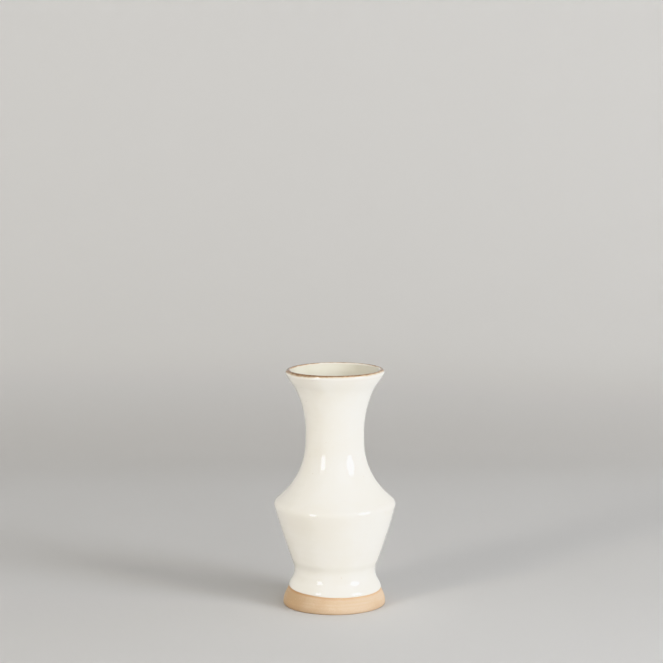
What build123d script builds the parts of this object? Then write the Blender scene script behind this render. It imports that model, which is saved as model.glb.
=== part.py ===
from build123d import *
import math
import os

# Ceramic bud vase. Millimetres, +Z up. The origin is the centre of the foot, on the
# surface that the vase stands on, and Z is the axis it was thrown on.
# Every section is drawn in the XZ plane as radius against height and turned about Z.

# Foot of the clay body: a bare band that flares out, and a turned ring underneath
foot_radius = 27.9
foot_belly_height = 1.2  # where the rounded foot is widest
foot_rounding = 10.5
foot_flare_angle = 25.3  # degrees from vertical, between the rounding and the ankle
foot_edge_radius = 0.7
ring_inner_radius = 22.4
ring_edge_radius = 0.6
recess_depth = 1.6

# Outside of the clay body, corner points before they are rounded
ankle_height = 18.4
ankle_rounding = 11.2
belly_corner = (33.4, 56.85)
belly_bulge = 0.5  # how far the lower body bows out of its straight line
belly_rounding = 3.3
neck_radius = 15.65
neck_low, neck_high = 90.4, 95.5  # the short straight stretch of the neck
lip_outer = (26.2, 127.75)
lip_inner = (24.6, 129.45)

# Inside of the clay body
bore_radius = 12.2
shoulder_inner = (29.4, 55.8)
shoulder_rounding = 5.0
floor_height = 8.5
floor_corner_radius = 14.0
floor_rounding = 8.0

# Glaze: a coat of one thickness over the clay, down to a line above the foot
glaze_thickness = 0.35
glaze_line_height = 9.5
rim_line_height = 129.0  # the brown band covers the lip from here up to its crest at 130

beyond = 40.0  # wider than the vase, for the bands that divide the coat


def round_corner(section, corner, radius):
    """Round the corner of a section that is nearest to the point given."""
    fillet(section.vertices().sort_by_distance(corner)[0], radius=radius)


# The form as if it were solid: half of its outline, from the axis out and up to the lip
with BuildSketch(Plane.XZ) as form:
    with BuildLine():
        knee = CenterArc(
            (foot_radius - foot_rounding, foot_belly_height), foot_rounding, 0, foot_flare_angle
        )
        ankle_rise = ankle_height - (knee @ 1).Y
        ankle_radius = (knee @ 1).X - ankle_rise * math.tan(math.radians(foot_flare_angle))
        ankle_corner = (ankle_radius, ankle_height)
        Line(knee @ 1, ankle_corner)
        SagittaArc(belly_corner, ankle_corner, belly_bulge)
        TangentArc((neck_radius, neck_low), belly_corner, tangent=(0, -1))
        Line((neck_radius, neck_low), (neck_radius, neck_high))
        flare = TangentArc((neck_radius, neck_high), lip_outer, tangent=(0, 1))
        TangentArc(lip_outer, lip_inner, tangent=flare % 1)
        Polyline(lip_inner, (0, lip_inner[1]), (0, 0), (foot_radius, 0), knee @ 0)
    make_face()
    round_corner(form, (foot_radius, 0), foot_edge_radius)
    round_corner(form, ankle_corner, ankle_rounding)
    round_corner(form, belly_corner, belly_rounding)

# The hollow: floor, lower wall, shoulder, bore and flare, up to the inside of the lip
with BuildSketch(Plane.XZ) as hollow:
    with BuildLine():
        floor_corner = (floor_corner_radius, floor_height)
        Line((0, floor_height), floor_corner)
        SagittaArc(shoulder_inner, floor_corner, belly_bulge)
        TangentArc((bore_radius, neck_low), shoulder_inner, tangent=(0, -1))
        Line((bore_radius, neck_low), (bore_radius, neck_high))
        TangentArc((bore_radius, neck_high), lip_inner, tangent=(0, 1))
        Polyline(lip_inner, (0, lip_inner[1]), (0, floor_height))
    make_face()
    round_corner(hollow, floor_corner, floor_rounding)
    round_corner(hollow, shoulder_inner, shoulder_rounding)

# The clay: the form less its hollow, and less the shallow recess inside the foot ring
with BuildSketch(Plane.XZ) as clay_section:
    add(form.sketch_local)
    add(hollow.sketch_local, mode=Mode.SUBTRACT)
    Rectangle(ring_inner_radius, recess_depth, align=Align.MIN, mode=Mode.SUBTRACT)
    round_corner(clay_section, (ring_inner_radius, 0), ring_edge_radius)
    round_corner(clay_section, (ring_inner_radius, recess_depth), ring_edge_radius)

# One coat all round the clay, which the glazed parts are cut from
with BuildSketch(Plane.XZ) as coat_section:
    add(clay_section.sketch_local)
    offset(amount=glaze_thickness)
    add(clay_section.sketch_local, mode=Mode.SUBTRACT)


with BuildPart() as stoneware_body:
    with BuildSketch(Plane.XZ):
        add(clay_section.sketch_local)
    revolve(axis=Axis.Z)

# The outside coat: what lies beyond the form, from the glaze line up to the brown band
with BuildPart() as outer_glaze:
    with BuildSketch(Plane.XZ):
        add(coat_section.sketch_local)
        with Locations((0, glaze_line_height)):
            band_height = rim_line_height - glaze_line_height
            Rectangle(beyond, band_height, align=Align.MIN, mode=Mode.INTERSECT)
        add(form.sketch_local, mode=Mode.SUBTRACT)
    revolve(axis=Axis.Z)

# The liner: what lies inside the hollow, from the floor up to the brown band
with BuildPart() as inner_glaze:
    with BuildSketch(Plane.XZ):
        add(coat_section.sketch_local)
        add(hollow.sketch_local, mode=Mode.INTERSECT)
        Rectangle(beyond, rim_line_height, align=Align.MIN, mode=Mode.INTERSECT)
    revolve(axis=Axis.Z)

# The brown band: the coat over the crest of the lip
with BuildPart() as rim_glaze:
    with BuildSketch(Plane.XZ):
        add(coat_section.sketch_local)
        with Locations((0, rim_line_height)):
            Rectangle(beyond, beyond, align=Align.MIN, mode=Mode.INTERSECT)
    revolve(axis=Axis.Z)

os.makedirs("parts", exist_ok=True)

stoneware_body.part.label = "stoneware_body"
export_step(stoneware_body.part, "parts/stoneware_body.step")

outer_glaze.part.label = "outer_glaze"
export_step(outer_glaze.part, "parts/outer_glaze.step")

inner_glaze.part.label = "inner_glaze"
export_step(inner_glaze.part, "parts/inner_glaze.step")

rim_glaze.part.label = "rim_glaze"
export_step(rim_glaze.part, "parts/rim_glaze.step")
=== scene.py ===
import math

import bpy
import numpy as np
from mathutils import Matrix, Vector, noise


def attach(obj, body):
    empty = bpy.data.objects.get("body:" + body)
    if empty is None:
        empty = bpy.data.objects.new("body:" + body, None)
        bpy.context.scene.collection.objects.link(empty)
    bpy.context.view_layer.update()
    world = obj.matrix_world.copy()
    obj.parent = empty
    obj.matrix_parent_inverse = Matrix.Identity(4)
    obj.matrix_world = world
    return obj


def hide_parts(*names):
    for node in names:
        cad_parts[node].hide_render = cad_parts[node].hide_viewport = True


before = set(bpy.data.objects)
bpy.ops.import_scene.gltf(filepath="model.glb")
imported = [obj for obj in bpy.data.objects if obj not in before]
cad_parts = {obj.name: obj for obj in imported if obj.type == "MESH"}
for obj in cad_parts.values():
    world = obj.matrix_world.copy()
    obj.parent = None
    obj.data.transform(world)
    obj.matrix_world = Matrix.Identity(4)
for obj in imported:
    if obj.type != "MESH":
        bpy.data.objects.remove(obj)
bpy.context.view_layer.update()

# A thrown stoneware bud vase: a clay body and three glaze coats, all turned from one
# outline. The outline runs from the middle of the underside, out over the foot ring, up
# the outside, over the lip and down the inside to the middle of the floor.
MM = 0.001
SEGMENTS = 288  # meshes have this many faces round the axis

# ---- Sizes of the clay, as in the CAD model -------------------------------------------
VASE_HEIGHT = 130 * MM
FOOT_RADIUS = 27.9 * MM
FOOT_BELLY_HEIGHT = 1.2 * MM
FOOT_ROUNDING = 10.5 * MM
FOOT_FLARE_ANGLE = 25.3  # degrees from vertical
FOOT_EDGE_RADIUS = 0.7 * MM
RING_INNER_RADIUS = 22.4 * MM
RING_EDGE_RADIUS = 0.6 * MM
RECESS_DEPTH = 1.6 * MM

ANKLE_HEIGHT = 18.4 * MM
ANKLE_REACH = 4.5 * MM  # how far either side of a corner its rounding starts
BELLY_CORNER = (33.4 * MM, 56.85 * MM)
BELLY_BULGE = 0.5 * MM
BELLY_REACH = 2.4 * MM
BELLY_EDGE_HEIGHT = 56.0 * MM  # where the belly is widest, once its corner is rounded
NECK_RADIUS = 15.65 * MM
NECK_LOW, NECK_HIGH = 90.4 * MM, 95.5 * MM
LIP_OUTER = (26.2 * MM, 127.75 * MM)
LIP_INNER = (24.6 * MM, 129.45 * MM)

BORE_RADIUS = 12.2 * MM
SHOULDER_INNER = (29.4 * MM, 55.8 * MM)
SHOULDER_REACH = 3.8 * MM
FLOOR_CORNER = (14.0 * MM, 8.5 * MM)
FLOOR_REACH = 5.6 * MM

# ---- The glaze ------------------------------------------------------------------------
GLAZE_THICKNESS = 0.35 * MM
BEAD_THICKNESS = 0.30 * MM  # what the rolled lower edge stands above the rest of the coat
BEAD_WIDTH = 1.8 * MM
GLAZE_LINE_HEIGHT = 9.6 * MM
GLAZE_LINE_TILT = (-0.62 * MM, 0.62 * MM)  # rise of the line towards +X and towards +Y
GLAZE_LINE_WANDER = 0.10 * MM
SHADE_BAND_HEIGHT = 23.2 * MM  # height of a band of painted shade, under the overhang of the lower body
SHADE_BAND_REACH = 3.2 * MM
RIM_OUTSIDE = 1.3 * MM  # how far the rim's coat comes down from the crest, along the clay
RIM_INSIDE = 1.2 * MM
RIM_WANDER = 0.2 * MM

# how much thinner or thicker the coat is at three places, and how far that reaches
BELLY_THINNING, BELLY_THIN_REACH = 0.06 * MM, 3.0 * MM
LIP_THINNING, LIP_THIN_REACH = 0.03 * MM, 2.5 * MM
ANKLE_THICKENING, ANKLE_THICK_REACH = 0.10 * MM, 4.0 * MM
# two fine spirals of ripples outside: size, height for each radian of the wave, which way
# round it climbs, and its phase at the start
RIPPLES = ((0.012 * MM, 0.62 * MM, 1, 0.0), (0.008 * MM, 0.37 * MM, -1, 1.3))
# throwing rings inside: size, spacing, and how far past the brown they reach their full size
RING_SIZE, RING_SPACING, RING_START = 0.05 * MM, 4.4 * MM, 12 * MM

# ---- How far the thrown form strays from round ----------------------------------------
WOBBLE = 0.04 * MM
OVAL_TURN, OVAL_TWIST = 0.7, 2.2  # phase of the oval at the foot, and what the lip adds to it
TUCK_REACH = 14 * MM  # how far above and below the belly's edge the wobble draws it in
LIP_DIP = 0.3 * MM  # how much lower the lip is on its low side
# how far each level's centre stands to +X of the axis, and the gaps that this is smoothed over
DRIFT_HEIGHTS = (0.0, 12 * MM, 24 * MM, 46 * MM, 56 * MM, 64 * MM, VASE_HEIGHT)
DRIFT_ACROSS = (-0.22 * MM, -0.15 * MM, 0.20 * MM, 0.18 * MM, 0.0, -0.02 * MM, 0.10 * MM)
DRIFT_GAPS = (-3 * MM, -1 * MM, 1 * MM, 3 * MM)
FLARE_SWELL = 0.6 * MM  # how much the flare swells outwards just under the lip
FLARE_SWELL_HEIGHT = 124.5 * MM
FLARE_SWELL_REACH = 3.4 * MM
RIDGE_DIP = 1.1 * MM  # how much lower the belly's edge sags on one side
RIDGE_DIP_TURN = math.radians(-105)
RIDGE_DIP_WIDTH = math.radians(50)
RIDGE_DIP_REACH = 12 * MM  # how far above and below the edge the sag dies away


# ---- Outline --------------------------------------------------------------------------
FINE = 0.1 * MM  # spacing of the points that outlines are worked out with


def line(start, end):
    """Points on a straight stretch, both ends included."""
    start, end = np.array(start), np.array(end)
    count = max(2, math.ceil(np.linalg.norm(end - start) / FINE))
    return start + np.linspace(0, 1, count)[:, None] * (end - start)


def circle(centre, radius, first, last):
    """Points on an arc, from one angle to another, in degrees from the +radius direction."""
    count = max(3, math.ceil(abs(math.radians(last - first)) * radius / FINE))
    angle = np.radians(np.linspace(first, last, count))
    return np.array(centre) + radius * np.stack([np.cos(angle), np.sin(angle)], 1)


def sweep(start, end):
    """Points on the arc that leaves start straight up or down and runs to end."""
    across, along = end[0] - start[0], end[1] - start[1]
    radius = (across**2 + along**2) / (2 * across)
    turn = math.asin(abs(along) / abs(radius))
    angle = np.linspace(0, turn, max(3, math.ceil(abs(radius) * turn / FINE)))
    rise = math.copysign(1, along) * abs(radius)
    return np.stack([start[0] + radius * (1 - np.cos(angle)), start[1] + rise * np.sin(angle)], 1)


def bowed(start, end, bulge):
    """Points on a stretch that bows outwards by bulge at its middle."""
    points = line(start, end)
    along = np.linspace(0, 1, len(points))
    step = points[-1] - points[0]
    outwards = np.array([step[1], -step[0]]) / np.linalg.norm(step)
    outwards *= math.copysign(1, outwards[0])
    return points + (4 * bulge * along * (1 - along))[:, None] * outwards


def soften(points, corner, reach):
    """Round a corner with the smooth curve between the points that far before and after it."""
    at = np.argmin(np.linalg.norm(points - np.array(corner), axis=1))
    steps = math.ceil(reach / FINE)
    before, after = points[at - steps], points[at + steps]
    leaving = before - points[at - steps - 1]
    arriving = points[at + steps + 1] - after
    # where the two tangents cross
    distance = np.linalg.solve(np.stack([leaving, arriving], 1), after - before)[0]
    middle = before + distance * leaving
    u = np.linspace(0, 1, 2 * steps + 1)[:, None]
    curve = (1 - u) ** 2 * before + 2 * u * (1 - u) * middle + u**2 * after
    return np.concatenate([points[: at - steps], curve, points[at + steps + 1 :]])


def join(*stretches):
    """One run of points from stretches that meet end to end."""
    return np.concatenate([stretches[0]] + [s[1:] for s in stretches[1:]])


def underside_outline():
    """From the middle of the recess out to the foot's widest point."""
    recess_edge = RING_INNER_RADIUS - RING_EDGE_RADIUS
    wall_top = RECESS_DEPTH - RING_EDGE_RADIUS
    ring_inside = RING_INNER_RADIUS + RING_EDGE_RADIUS
    ring_outside = FOOT_RADIUS - FOOT_EDGE_RADIUS
    return join(
        line((0, RECESS_DEPTH), (recess_edge, RECESS_DEPTH)),
        circle((recess_edge, wall_top), RING_EDGE_RADIUS, 90, 0),
        line((RING_INNER_RADIUS, wall_top), (RING_INNER_RADIUS, RING_EDGE_RADIUS)),
        circle((ring_inside, RING_EDGE_RADIUS), RING_EDGE_RADIUS, 180, 270),
        line((ring_inside, 0), (ring_outside, 0)),
        circle((ring_outside, FOOT_EDGE_RADIUS), FOOT_EDGE_RADIUS, 270, 360),
        line((FOOT_RADIUS, FOOT_EDGE_RADIUS), (FOOT_RADIUS, FOOT_BELLY_HEIGHT)),
    )


def outside_outline():
    """From the widest point of the foot up to where the lip starts to turn over."""
    centre = (FOOT_RADIUS - FOOT_ROUNDING, FOOT_BELLY_HEIGHT)
    rounding = circle(centre, FOOT_ROUNDING, 0, FOOT_FLARE_ANGLE)
    knee = rounding[-1]
    inwards = (ANKLE_HEIGHT - knee[1]) * math.tan(math.radians(FOOT_FLARE_ANGLE))
    ankle = (knee[0] - inwards, ANKLE_HEIGHT)
    points = join(
        rounding,
        line(knee, ankle),
        bowed(ankle, BELLY_CORNER, BELLY_BULGE),
        sweep((NECK_RADIUS, NECK_LOW), BELLY_CORNER)[::-1],
        line((NECK_RADIUS, NECK_LOW), (NECK_RADIUS, NECK_HIGH)),
        sweep((NECK_RADIUS, NECK_HIGH), LIP_OUTER),
    )
    return soften(soften(points, ankle, ANKLE_REACH), BELLY_CORNER, BELLY_REACH)


def lip_outline(flare):
    """The round of the lip, from outside to inside: the arc that carries on from the flare."""
    leaving = flare[-1] - flare[-2]
    inwards = np.array([-leaving[1], leaving[0]]) / np.linalg.norm(leaving)
    outer, inner = np.array(LIP_OUTER), np.array(LIP_INNER)
    across = inner - outer
    radius = across @ across / (2 * across @ inwards)
    centre = outer + radius * inwards
    first, last = (math.degrees(math.atan2(*(end - centre)[::-1])) for end in (outer, inner))
    return circle(centre, radius, first, last)


def inside_outline():
    """From the lip down to the middle of the floor."""
    points = join(
        sweep((BORE_RADIUS, NECK_HIGH), LIP_INNER)[::-1],
        line((BORE_RADIUS, NECK_HIGH), (BORE_RADIUS, NECK_LOW)),
        sweep((BORE_RADIUS, NECK_LOW), SHOULDER_INNER),
        bowed(SHOULDER_INNER, FLOOR_CORNER, BELLY_BULGE),
        line(FLOOR_CORNER, (0, FLOOR_CORNER[1])),
    )
    return soften(soften(points, SHOULDER_INNER, SHOULDER_REACH), FLOOR_CORNER, FLOOR_REACH)


UNDERSIDE, OUTSIDE, INSIDE = underside_outline(), outside_outline(), inside_outline()
LIP = lip_outline(OUTSIDE)
OUTLINE = join(UNDERSIDE, OUTSIDE, LIP, INSIDE)
STEPS = np.linalg.norm(np.diff(OUTLINE, axis=0), axis=1)
ALONG = np.concatenate([[0], np.cumsum(STEPS)])  # distance along the outline, at each point
TANGENT = np.gradient(OUTLINE, axis=0)
TANGENT /= np.linalg.norm(TANGENT, axis=1)[:, None]
NORMAL = np.stack([TANGENT[:, 1], -TANGENT[:, 0]], 1)  # out of the clay
TURN = np.linspace(0, 2 * math.pi, SEGMENTS, endpoint=False)  # the angle of each meridian

# distances along the outline of four places on it
OUTSIDE_START = ALONG[len(UNDERSIDE) - 1]
LIP_START = ALONG[len(join(UNDERSIDE, OUTSIDE)) - 1]
CREST = ALONG[np.argmax(OUTLINE[:, 1])]
FLOOR_MIDDLE = ALONG[-1]


def drift(scale, seed):
    """A smooth wander round the axis, from about -1 to 1, that closes on itself."""
    places = [Vector((scale * math.cos(a), scale * math.sin(a), seed)) for a in TURN]
    return np.array([2 * noise.noise(place) for place in places])


def glaze_edge():
    """Distance along the outline of the outer glaze's lower edge, at each meridian."""
    tilt = GLAZE_LINE_TILT[0] * np.cos(TURN) + GLAZE_LINE_TILT[1] * np.sin(TURN)
    wander = GLAZE_LINE_WANDER * (drift(1.6, 3.7) + 0.35 * drift(6.0, 8.1))
    outside = (ALONG >= OUTSIDE_START) & (ALONG <= LIP_START)
    return np.interp(GLAZE_LINE_HEIGHT + tilt + wander, OUTLINE[outside, 1], ALONG[outside])


# where the coats begin and end, as distances along the outline, at each meridian
GLAZE_EDGE = glaze_edge()
RIM_START = CREST - RIM_OUTSIDE + RIM_WANDER * (drift(1.3, 21.0) + 0.5 * drift(5.0, 25.0))
RIM_END = CREST + RIM_INSIDE + RIM_WANDER * (drift(1.5, 31.0) + 0.5 * drift(5.5, 35.0))


# ---- Surfaces -------------------------------------------------------------------------
COAT_FINEST = 0.05 * MM  # spacing of a coat's points at its edges
SPACING_GROWTH = 1.25  # and how much wider each gap is than the one before
BARE_CLAY = 12 * MM  # clay is only bare up to here, along it from the foot's widest point


def bump(x, centre, width):
    """A smooth hump, 1 at its centre and nearly gone at twice its width from there."""
    return np.exp(-(((x - centre) / width) ** 2))


def coat_thickness(along):
    """Glaze thickness at distances along the outline, one column for each meridian."""
    height = np.interp(along, ALONG, OUTLINE[:, 1])
    outside = along < CREST
    from_edge = along - GLAZE_EDGE
    rise = np.clip(from_edge / BEAD_WIDTH, 0, 1)
    rounded = np.sqrt(1 - (1 - rise) ** 2)
    bead = BEAD_THICKNESS * bump(np.clip(from_edge - BEAD_WIDTH, 0, None), 0, 1.5 * BEAD_WIDTH)
    # thin where it runs off the belly's edge and the lip, thick where it gathers in the ankle
    even = np.full_like(along, GLAZE_THICKNESS)
    even -= BELLY_THINNING * bump(height, BELLY_EDGE_HEIGHT, BELLY_THIN_REACH) * outside
    even -= LIP_THINNING * bump(along, CREST, LIP_THIN_REACH)
    even += ANKLE_THICKENING * bump(height, ANKLE_HEIGHT, ANKLE_THICK_REACH) * outside
    for size, rise_per_radian, way, start in RIPPLES:
        even += size * np.sin(height / rise_per_radian + way * TURN + start) * outside
    # faint throwing rings, a spiral, under the glaze inside
    rings = RING_SIZE * np.sin(2 * math.pi * height / RING_SPACING + TURN)
    even += rings * ~outside * np.clip((along - RIM_END) / RING_START, 0, 1)
    return rounded * (even + bead)


def thrown(radius, height):
    """Where a point of the true form stands on the thrown pot, which is never quite round."""
    oval = np.cos(2 * TURN + OVAL_TURN + OVAL_TWIST * np.clip(height / VASE_HEIGHT, 0, 1))
    tuck = bump(height, BELLY_CORNER[1], TUCK_REACH)
    wobble = WOBBLE * (oval - tuck) * np.clip(radius / BORE_RADIUS, 0, 1)
    swell = FLARE_SWELL * bump(height, FLARE_SWELL_HEIGHT, FLARE_SWELL_REACH)
    shifts = [np.interp(height + gap, DRIFT_HEIGHTS, DRIFT_ACROSS) for gap in DRIFT_GAPS]
    # the lip is lowest towards -X, and the belly's edge sags on the side of RIDGE_DIP_TURN
    up_flare = np.clip((height - NECK_HIGH) / (LIP_OUTER[1] - NECK_HIGH), 0, 1)
    dip = LIP_DIP * 0.5 * (1 - np.cos(TURN)) * up_flare**2
    away = np.arccos(np.cos(TURN - RIDGE_DIP_TURN))
    sag = RIDGE_DIP * bump(away, 0, RIDGE_DIP_WIDTH) * bump(height, BELLY_CORNER[1], RIDGE_DIP_REACH)
    out = radius + wobble + swell
    across = sum(shifts) / len(shifts)
    return np.stack([out * np.cos(TURN) + across, out * np.sin(TURN), height - dip - sag], -1)


def surface(along, thickness):
    """Points at distances along the outline, standing thickness off the clay."""
    radius, height = (np.interp(along, ALONG, OUTLINE[:, axis]) for axis in (0, 1))
    outwards, upwards = (np.interp(along, ALONG, NORMAL[:, axis]) for axis in (0, 1))
    radius, height = radius + thickness * outwards, height + thickness * upwards
    return thrown(np.clip(radius, 0, None), height)


def stations(length, finest, coarsest, both=True):
    """Places from 0 to 1 along a stretch, close together at its start, and at its end too if both."""
    gaps, size = [], finest
    while sum(gaps) < length / (2 if both else 1):
        gaps.append(size)
        size = min(size * SPACING_GROWTH, coarsest)
    if both:
        gaps = gaps + gaps[::-1]
    places = np.concatenate([[0], np.cumsum(gaps)])
    return places / places[-1]


def between(start, end, places):
    """Distances along the outline from start to end, one row for each place."""
    start, end = np.broadcast_to(start, SEGMENTS), np.broadcast_to(end, SEGMENTS)
    return start[None, :] + places[:, None] * (end - start)[None, :]


def turned_faces(rows, closed):
    """Faces of a turned mesh whose points are numbered row by row and then, in one that isn't
    closed, by its first and last ends."""
    faces = []
    for row in range(rows if closed else rows - 1):
        low, high = row * SEGMENTS, (row + 1) % rows * SEGMENTS
        for i in range(SEGMENTS):
            j = (i + 1) % SEGMENTS
            faces.append((low + i, low + j, high + j, high + i))
    if not closed:
        first, last, top = rows * SEGMENTS, rows * SEGMENTS + 1, (rows - 1) * SEGMENTS
        for i in range(SEGMENTS):
            j = (i + 1) % SEGMENTS
            faces.append((first, j, i))
            faces.append((last, top + i, top + j))
    return faces


def make_mesh(name, rings, closed, key, values):
    """A turned mesh that keeps values under key. Its rings are points by row and meridian. A
    closed mesh joins its last row to its first, and any other runs to points on the axis."""
    rows, points = len(rings), rings.reshape(-1, 3)
    if not closed:
        points = np.concatenate([points, rings[0].mean(0)[None], rings[-1].mean(0)[None]])
    mesh = bpy.data.meshes.new(name)
    mesh.from_pydata(points.tolist(), [], turned_faces(rows, closed))
    column = np.zeros(len(points), np.float32)
    column[: rows * SEGMENTS] = values.reshape(-1)
    mesh.attributes.new(key, "FLOAT", "POINT").data.foreach_set("value", column)
    mesh.validate()
    mesh.shade_smooth()
    mesh.set_sharp_from_angle(angle=math.radians(50))
    piece = bpy.data.objects.new(name, mesh)
    bpy.context.collection.objects.link(piece)
    return piece


def finish_piece(piece, node, material):
    """Gives a piece its material and its body, and hides the CAD node that it replaces."""
    piece.data.materials.append(material)
    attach(piece, "root")
    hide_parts(node)


def make_coat(name, start, end, coarsest, backing):
    """A closed shell of glaze between two lines round the pot, backed by the clay."""
    length = float(np.max(np.broadcast_to(end, SEGMENTS) - np.broadcast_to(start, SEGMENTS)))
    face = between(start, end, stations(length, COAT_FINEST, coarsest))
    back = between(start, end, stations(length, backing, backing))[::-1]
    along = np.concatenate([face, back])
    thickness = np.concatenate([coat_thickness(face), np.zeros_like(back)])
    past_crest = (along - CREST) / MM
    return make_mesh(name, surface(along, thickness), True, "past_crest", past_crest)


def make_outer():
    """The outside coat, from the glaze line above the foot up to the brown."""
    return make_coat("outer_glaze_coat", GLAZE_EDGE, RIM_START, coarsest=0.8 * MM, backing=4 * MM)


def make_rim():
    """The brown coat over the crest of the lip."""
    return make_coat("brown_rim_band", RIM_START, RIM_END, coarsest=0.12 * MM, backing=0.3 * MM)


def make_liner():
    """The inside coat, from the brown down to the middle of the floor."""
    places = stations(FLOOR_MIDDLE - CREST, COAT_FINEST, 1.2 * MM, both=False)
    face = between(RIM_END, FLOOR_MIDDLE, places)[::-1][1:]
    back = between(RIM_END, FLOOR_MIDDLE, np.linspace(0, 1, 50)[:-1])
    along = np.concatenate([face, back])
    thickness = np.concatenate([coat_thickness(face), np.zeros_like(back)])
    past_crest = (along - CREST) / MM
    return make_mesh("liner_glaze_coat", surface(along, thickness), False, "past_crest", past_crest)


def make_body():
    """The clay: fine where it is bare, coarser where glaze covers it."""
    glazed = float(OUTSIDE_START + BARE_CLAY)
    bare = between(0, glazed, stations(glazed, 0.5 * MM, 0.5 * MM, both=False))
    hidden = between(glazed, FLOOR_MIDDLE, stations(FLOOR_MIDDLE - glazed, 1.5 * MM, 1.5 * MM))
    along = np.concatenate([bare[1:], hidden[1:-1]])
    past_edge = (along - GLAZE_EDGE) / MM
    clay = surface(along, np.zeros_like(along))
    return make_mesh("thrown_clay_body", clay, False, "past_edge", past_edge)


# ---- Materials ------------------------------------------------------------------------
# colours are linear red, green and blue; a pair is mottled from one to the other
CREAM_GLAZE = (0.875, 0.855, 0.800), (0.845, 0.815, 0.745)
# the liner's pair is the cream glaze painted darker and yellower, as painted shade inside the mouth
SHADED_LINER_GLAZE = (0.670, 0.645, 0.555), (0.620, 0.590, 0.490)
RIM_GLAZE = (0.85, 0.825, 0.76), (0.81, 0.775, 0.70)
# painted shade: the band under the lower body's overhang, darker than the glaze
UNDERHANG_SHADE = (0.66, 0.635, 0.565)
IRON_SPECK = (0.42, 0.27, 0.16)
LIP_STAIN = (0.43, 0.385, 0.29)
LIP_TAN = (0.56, 0.40, 0.26)
LIP_BROWNS = (0.235, 0.14, 0.080), (0.36, 0.235, 0.14)
GLAZE_IOR = 1.56

CLAY_COLOURS = (0.58, 0.430, 0.288), (0.665, 0.535, 0.395)
CLAY_BLUSH = (0.54, 0.345, 0.185)
BLUSH_PLACE = (-21 * MM, -18 * MM, 1 * MM)  # on the foot, where the flame touched it
CLAY_GRAIN = (0.47, 0.31, 0.185)
PALE_GROG = (0.85, 0.70, 0.52)
DARK_GROG = (0.34, 0.19, 0.10)
LINE_BROWN = (0.54, 0.38, 0.24)
LOW_FOOT_CLAY = (0.44, 0.31, 0.21)
TOASTED_CLAY = (0.50, 0.27, 0.13)
CLAY_IOR, CLAY_SPECULAR = 1.45, 0.3

PAPER_COLOURS = (0.566, 0.562, 0.554), (0.580, 0.576, 0.568)
# painted shade where the floor turns up, and painted light up the wall
PAPER_TURN_SHADE = (0.538, 0.528, 0.513)
PAPER_WALL_LIGHT = (0.598, 0.590, 0.574)


class Nodes:
    """A material's node tree, with short calls for the nodes that these materials use."""

    def __init__(self, name):
        self.material = bpy.data.materials.new(name)
        self.material.use_nodes = True
        self.tree = self.material.node_tree
        self.shader = self.tree.nodes["Principled BSDF"]
        self.place = self.add("ShaderNodeTexCoord").outputs["Object"]

    def add(self, kind, inputs=None, **settings):
        """A new node, with its settings, and its inputs set or linked."""
        node = self.tree.nodes.new(kind)
        for key, value in settings.items():
            setattr(node, key, value)
        for key, value in (inputs or {}).items():
            self.feed(node.inputs[key], value)
        return node

    def feed(self, socket, value):
        """Links a socket's value to it, or sets it to any other value."""
        if isinstance(value, bpy.types.NodeSocket):
            self.tree.links.new(value, socket)
        else:
            socket.default_value = value

    def noise(self, scale, detail=2.0, where=None, distortion=0.0):
        inputs = {"Vector": where or self.place, "Scale": scale, "Detail": detail}
        inputs["Distortion"] = distortion
        return self.add("ShaderNodeTexNoise", inputs).outputs["Fac"]

    def cells(self, scale):
        """Distance from the nearest of many scattered points."""
        inputs = {"Vector": self.place, "Scale": scale}
        return self.add("ShaderNodeTexVoronoi", inputs).outputs["Distance"]

    def attribute(self, name):
        return self.add("ShaderNodeAttribute", attribute_name=name).outputs["Fac"]

    def axis(self, name):
        """The X, Y or Z of each point, in metres."""
        return self.add("ShaderNodeSeparateXYZ", {0: self.place}).outputs[name]

    def distance(self, place):
        """How far each point is from a place."""
        inputs = {0: self.place, 1: place}
        return self.add("ShaderNodeVectorMath", inputs, operation="DISTANCE").outputs["Value"]

    def math(self, operation, a, b=0.0):
        return self.add("ShaderNodeMath", {0: a, 1: b}, operation=operation).outputs[0]

    def total(self, first, *rest):
        """The sum of the values."""
        for value in rest:
            first = self.math("ADD", first, value)
        return first

    def times(self, a, b):
        return self.math("MULTIPLY", a, b)

    def spread(self, value, low, high, to_low=0.0, to_high=1.0):
        """value from low to high, as a smooth change from to_low to to_high, held outside."""
        inputs = {"Value": value, "From Min": low, "From Max": high, "To Min": to_low, "To Max": to_high}
        node = self.add("ShaderNodeMapRange", inputs, interpolation_type="SMOOTHSTEP")
        return node.outputs["Result"]

    def blend(self, share, a, b):
        """Colour a, changed towards colour b by a share from 0 to 1."""
        node = self.add("ShaderNodeMix", data_type="RGBA")
        self.feed(node.inputs["Factor"], share)
        for socket, value in (("A_Color", a), ("B_Color", b)):
            found = next(s for s in node.inputs if s.identifier == socket)
            self.feed(found, (*value, 1.0) if isinstance(value, tuple) else value)
        return next(s for s in node.outputs if s.identifier == "Result_Color")

    def stretched(self, across, up):
        """Coordinates that make a texture finer up the pot than across it, or coarser."""
        inputs = {"Vector": self.place, "Scale": (across, across, up)}
        return self.add("ShaderNodeMapping", inputs).outputs["Vector"]

    def relief(self, height, distance, strength, below=None):
        """Fine relief, on top of the relief below it if there is any."""
        inputs = {"Height": height, "Distance": distance, "Strength": strength}
        if below is not None:
            inputs["Normal"] = below
        return self.add("ShaderNodeBump", inputs).outputs["Normal"]

    def finish(self, **sockets):
        """Sets or links the shader's own inputs, and gives the material."""
        for name, value in sockets.items():
            self.feed(self.shader.inputs[name.replace("_", " ")], value)
        return self.material


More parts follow.
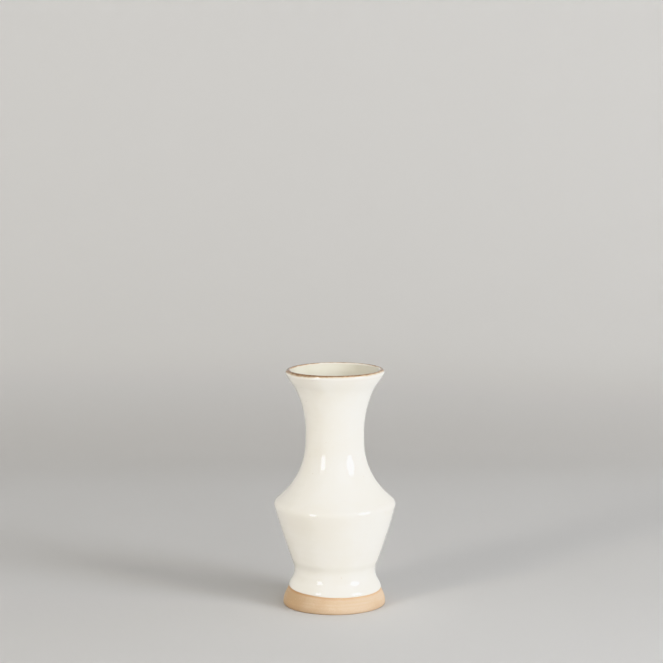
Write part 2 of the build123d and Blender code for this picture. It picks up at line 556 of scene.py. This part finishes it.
def cream_colour(n, cream, deep):
    """The glaze away from the lip: slow clouding, a band of painted shade under the lower body's
    overhang, and iron specks.
    """
    clouds = n.spread(n.noise(38.0, 3.0, distortion=0.4), 0.35, 0.68)
    fine_clouds = n.spread(n.noise(260.0, 3.0), 0.3, 0.75)
    colour = n.blend(clouds, cream, deep)
    colour = n.blend(n.times(fine_clouds, 0.22), colour, deep)
    # painted shade in a band just above the ankle, under the overhang of the lower body
    from_shade_band = n.math("ABSOLUTE", n.math("SUBTRACT", n.axis("Z"), SHADE_BAND_HEIGHT))
    colour = n.blend(n.spread(from_shade_band, 0.0, SHADE_BAND_REACH, 0.36, 0.0), colour, UNDERHANG_SHADE)
    # a few pale iron specks that came through from the clay
    specks = n.spread(n.cells(330.0), 0.05, 0.13, 1.0, 0.0)
    rare = n.spread(n.noise(170.0, 1.0), 0.62, 0.70)
    return n.blend(n.times(n.times(specks, rare), 0.55), colour, IRON_SPECK)


def wandering(n, scale, detail, size):
    """An uneven value that wanders about 0."""
    return n.times(n.math("SUBTRACT", n.noise(scale, detail), 0.5), size)


def break_reach(n, past_crest, ragged):
    """How far a point is from the middle of the brown: about 0 there and about 1 at its end. The
    brown is lighter towards +X and at the back, and its middle is further in at the back."""
    patchy = wandering(n, 90.0, 2.0, 1.1)
    sideways = n.spread(n.axis("X"), -24 * MM, 16 * MM, -0.20, 0.14)
    lighter = n.total(sideways, n.spread(n.axis("Y"), 4 * MM, 20 * MM, 0.0, 0.20))
    middle = n.spread(n.axis("Y"), -6 * MM, 14 * MM, 0.44, -0.10)
    reach = n.math("ABSOLUTE", n.total(past_crest, middle))
    return n.total(reach, lighter, ragged, patchy)


def lip_colour(n, colour):
    """The break over the lip, on a colour: a pale stain below it, tan where it starts and iron
    brown in its middle. The share of brown comes with it."""
    past_crest = n.attribute("past_crest")
    ragged = wandering(n, 420.0, 4.0, 0.8)
    reach = break_reach(n, past_crest, ragged)
    below = n.times(past_crest, -1.0)
    stain = n.spread(n.total(below, n.times(ragged, 0.5)), 0.9, 2.1, 0.55, 0.0)
    colour = n.blend(n.times(stain, n.spread(below, -0.5, 0.1)), colour, LIP_STAIN)
    colour = n.blend(n.spread(reach, 0.75, 1.20, 0.85, 0.0), colour, LIP_TAN)
    brown = n.spread(reach, 0.20, 0.90, 1.0, 0.0)
    rust = n.blend(n.spread(n.noise(600.0, 3.0), 0.35, 0.65), *LIP_BROWNS)
    return n.blend(brown, colour, rust), brown


def glaze_relief(n):
    """A faint orange peel, and a few pits."""
    peel = n.relief(n.noise(900.0, 2.0), 0.02 * MM, 0.35)
    pits = n.spread(n.cells(520.0), 0.03, 0.09)
    chosen = n.spread(n.noise(240.0, 1.0), 0.66, 0.72)
    dents = n.math("SUBTRACT", 1.0, n.times(n.math("SUBTRACT", 1.0, pits), chosen))
    return n.relief(dents, 0.08 * MM, 0.6, below=peel)


def glaze_material(name, cream, deep):
    """Glossy cream glaze that breaks to iron brown over the lip, a shade duller there."""
    n = Nodes(name)
    colour, brown = lip_colour(n, cream_colour(n, cream, deep))
    smears = n.spread(n.noise(55.0, 2.0), 0.3, 0.7, 0.05, 0.10)
    roughness = n.total(smears, n.times(brown, 0.12))
    return n.finish(Base_Color=colour, Roughness=roughness, Normal=glaze_relief(n), IOR=GLAZE_IOR)


def clay_patches(n):
    """The clay's colour before its grain: broad patches, and a rosier one on the foot."""
    broad = n.spread(n.noise(45.0, 3.0, distortion=0.6), 0.32, 0.70)
    away = n.total(n.distance(BLUSH_PLACE), n.times(n.noise(140.0, 3.0), 8 * MM))
    blush = n.spread(away, 6 * MM, 21 * MM, 0.50, 0.0)
    return n.blend(blush, n.blend(broad, *CLAY_COLOURS), CLAY_BLUSH)


def clay_grain(n, colour, grain):
    """Grain, with pale and dark grog, on a colour."""
    colour = n.blend(n.spread(grain, 0.32, 0.68, 0.0, 0.30), colour, CLAY_GRAIN)
    grog = n.spread(n.cells(1300.0), 0.12, 0.30, 0.42, 0.0)
    chosen = n.spread(n.noise(700.0, 1.0), 0.52, 0.62)
    colour = n.blend(n.times(grog, chosen), colour, PALE_GROG)
    dark_grog = n.spread(n.cells(900.0), 0.08, 0.20, 0.60, 0.0)
    few = n.spread(n.noise(500.0, 1.0), 0.60, 0.70)
    return n.blend(n.times(dark_grog, few), colour, DARK_GROG)


def clay_material():
    """Bare buff stoneware: fine grain, grog, turning lines and a toasted line by the glaze."""
    n = Nodes("bare_stoneware")
    grain = n.noise(2600.0, 4.0)
    colour = clay_grain(n, clay_patches(n), grain)
    # lines left by the turning tool and the sponge
    lines = n.noise(1.0, 2.0, where=n.stretched(25.0, 2300.0))
    wide_lines = n.noise(1.0, 1.0, where=n.stretched(18.0, 800.0))
    colour = n.blend(n.spread(wide_lines, 0.4, 0.66, 0.0, 0.38), colour, LINE_BROWN)
    # darker towards the bottom of the foot, over its lowest 3.2 mm
    colour = n.blend(n.spread(n.axis("Z"), 0.0, 3.2 * MM, 0.45, 0.0), colour, LOW_FOOT_CLAY)
    # the toasted line just under the glaze
    from_glaze = n.total(n.attribute("past_edge"), n.noise(300.0, 2.0))
    colour = n.blend(n.spread(from_glaze, -1.3, 0.35, 0.0, 0.55), colour, TOASTED_CLAY)
    roughness = n.spread(grain, 0.3, 0.7, 0.72, 0.88)
    normal = n.relief(lines, 0.05 * MM, 0.5)
    normal = n.relief(wide_lines, 0.08 * MM, 0.5, below=normal)
    normal = n.relief(grain, 0.04 * MM, 0.6, below=normal)
    n.finish(IOR=CLAY_IOR, Specular_IOR_Level=CLAY_SPECULAR)
    return n.finish(Base_Color=colour, Roughness=roughness, Normal=normal)


def paper_material():
    """The studio's pale grey paper, with painted shade and painted light on it."""
    n = Nodes("studio_paper")
    colour = n.blend(n.spread(n.noise(3.0, 2.0), 0.3, 0.7), *PAPER_COLOURS)
    # painted shade where the floor turns up, and painted light up the wall
    colour = n.blend(n.spread(n.axis("Y"), 0.28, 0.50), colour, PAPER_TURN_SHADE)
    colour = n.blend(n.spread(n.axis("Z"), 4 * MM, 60 * MM), colour, PAPER_WALL_LIGHT)
    normal = n.relief(n.noise(900.0, 2.0), 0.05 * MM, 0.3)
    return n.finish(Base_Color=colour, Roughness=0.85, Normal=normal)


# ---- Studio ---------------------------------------------------------------------------
CAMERA_PLACE = (-0.00175, -1.158, 0.3011)
CAMERA_PITCH = 7.42  # degrees below level
CAMERA_LENS = 117.1
BACKDROP_MIDDLE = -1.0  # the round sweep of paper is centred this far along Y
BACKDROP_FLAT = 1.40  # radius of its flat floor
BACKDROP_SWEEP = 0.50  # radius of the curve from its floor to its wall
BACKDROP_HEIGHT = 1.0
BACKDROP_SEGMENTS = 96
LIGHT_AIM = Vector((0, 0, 0.07))
WORLD_COLOUR, WORLD_STRENGTH = (1.0, 0.985, 0.965, 1.0), 0.505


def make_camera():
    camera = bpy.data.objects.new("camera", bpy.data.cameras.new("camera"))
    camera.location = CAMERA_PLACE
    camera.rotation_euler = (math.radians(90 - CAMERA_PITCH), 0, 0)
    camera.data.lens = CAMERA_LENS
    bpy.context.collection.objects.link(camera)
    bpy.context.scene.camera = camera


def make_backdrop():
    """Floor and wall in one sweep of paper, all round the camera and the vase."""
    curve = circle((0, BACKDROP_SWEEP), BACKDROP_SWEEP, -90, 0)[:: round(20 * MM / FINE)]
    rows = [(BACKDROP_FLAT * share, 0.0) for share in (0.25, 0.5, 0.75)]
    rows += [(BACKDROP_FLAT + x, z) for x, z in curve]
    rows += [(BACKDROP_FLAT + BACKDROP_SWEEP, BACKDROP_HEIGHT)]
    count = BACKDROP_SEGMENTS
    points, faces = [(0.0, BACKDROP_MIDDLE, 0.0)], []
    for radius, height in rows:
        for i in range(count):
            a = 2 * math.pi * i / count
            points.append((radius * math.cos(a), BACKDROP_MIDDLE + radius * math.sin(a), height))
    for i in range(count):
        j = (i + 1) % count
        faces.append((0, 1 + i, 1 + j))
        for row in range(len(rows) - 1):
            low, high = 1 + row * count, 1 + (row + 1) * count
            faces.append((low + i, high + i, high + j, low + j))
    mesh = bpy.data.meshes.new("backdrop")
    mesh.from_pydata(points, [], faces)
    mesh.shade_smooth()
    backdrop = bpy.data.objects.new("backdrop", mesh)
    backdrop.data.materials.append(paper_material())
    bpy.context.collection.objects.link(backdrop)


def make_light(name, azimuth, elevation, distance, width, height, power, colour, shape="RECTANGLE"):
    """A soft box that faces the vase. Azimuth 0 is the camera's side, and 90 is towards +X."""
    data = bpy.data.lights.new(name, "AREA")
    data.shape, data.size, data.size_y = shape, width, height
    data.energy, data.color = power, colour
    light = bpy.data.objects.new(name, data)
    a, e = math.radians(azimuth), math.radians(elevation)
    towards = Vector((math.sin(a) * math.cos(e), -math.cos(a) * math.cos(e), math.sin(e)))
    light.location = LIGHT_AIM + distance * towards
    light.rotation_euler = (-towards).to_track_quat("-Z", "Y").to_euler()
    light.visible_camera = False
    bpy.context.collection.objects.link(light)
    return light


def make_lights():
    make_light("key_softbox", 57.5, 16.5, 1.5, 0.70, 0.64, 16.8, (0.98, 1.0, 1.04), "ELLIPSE")
    make_light("left_strip", -43, 15.5, 1.5, 0.33, 0.50, 9.3, (1.0, 0.955, 0.88))
    # these two only brighten the highlights of the two lights above
    key_gleam = make_light("key_gleam", 57.5, 16.5, 1.49, 0.66, 0.60, 20.0, (1.0, 1.0, 1.0), "ELLIPSE")
    left_gleam = make_light("left_gleam", -43, 15.5, 1.49, 0.29, 0.46, 17.0, (1.0, 0.99, 0.97))
    key_gleam.visible_diffuse = left_gleam.visible_diffuse = False
    make_light("front_softbox", 34, 30, 1.7, 1.2, 0.8, 6.2, (0.99, 1.0, 1.02))
    make_light("back_left_panel", -143, 10, 1.2, 0.9, 0.7, 1.6, (1.0, 0.98, 0.94))
    make_light("back_right_panel", 143, 10, 1.2, 0.9, 0.7, 1.6, (1.0, 1.0, 1.0))


def make_world():
    """Even light from everywhere, and how colours are shown."""
    world = bpy.data.worlds.new("studio")
    world.use_nodes = True
    background = world.node_tree.nodes["Background"].inputs
    background["Color"].default_value = WORLD_COLOUR
    background["Strength"].default_value = WORLD_STRENGTH
    bpy.context.scene.world = world
    bpy.context.scene.view_settings.view_transform = "Khronos PBR Neutral"


# ---- The vase -------------------------------------------------------------------------
make_camera()
make_backdrop()
make_lights()
make_world()

cream_glaze = glaze_material("cream_glaze", *CREAM_GLAZE)
# the liner glaze's colours hold painted shade inside the mouth
liner_glaze = glaze_material("liner_glaze", *SHADED_LINER_GLAZE)
rim_glaze = glaze_material("brown_rim_glaze", *RIM_GLAZE)

finish_piece(make_body(), "stoneware_body", clay_material())
finish_piece(make_outer(), "outer_glaze", cream_glaze)
finish_piece(make_rim(), "rim_glaze", rim_glaze)
finish_piece(make_liner(), "inner_glaze", liner_glaze)
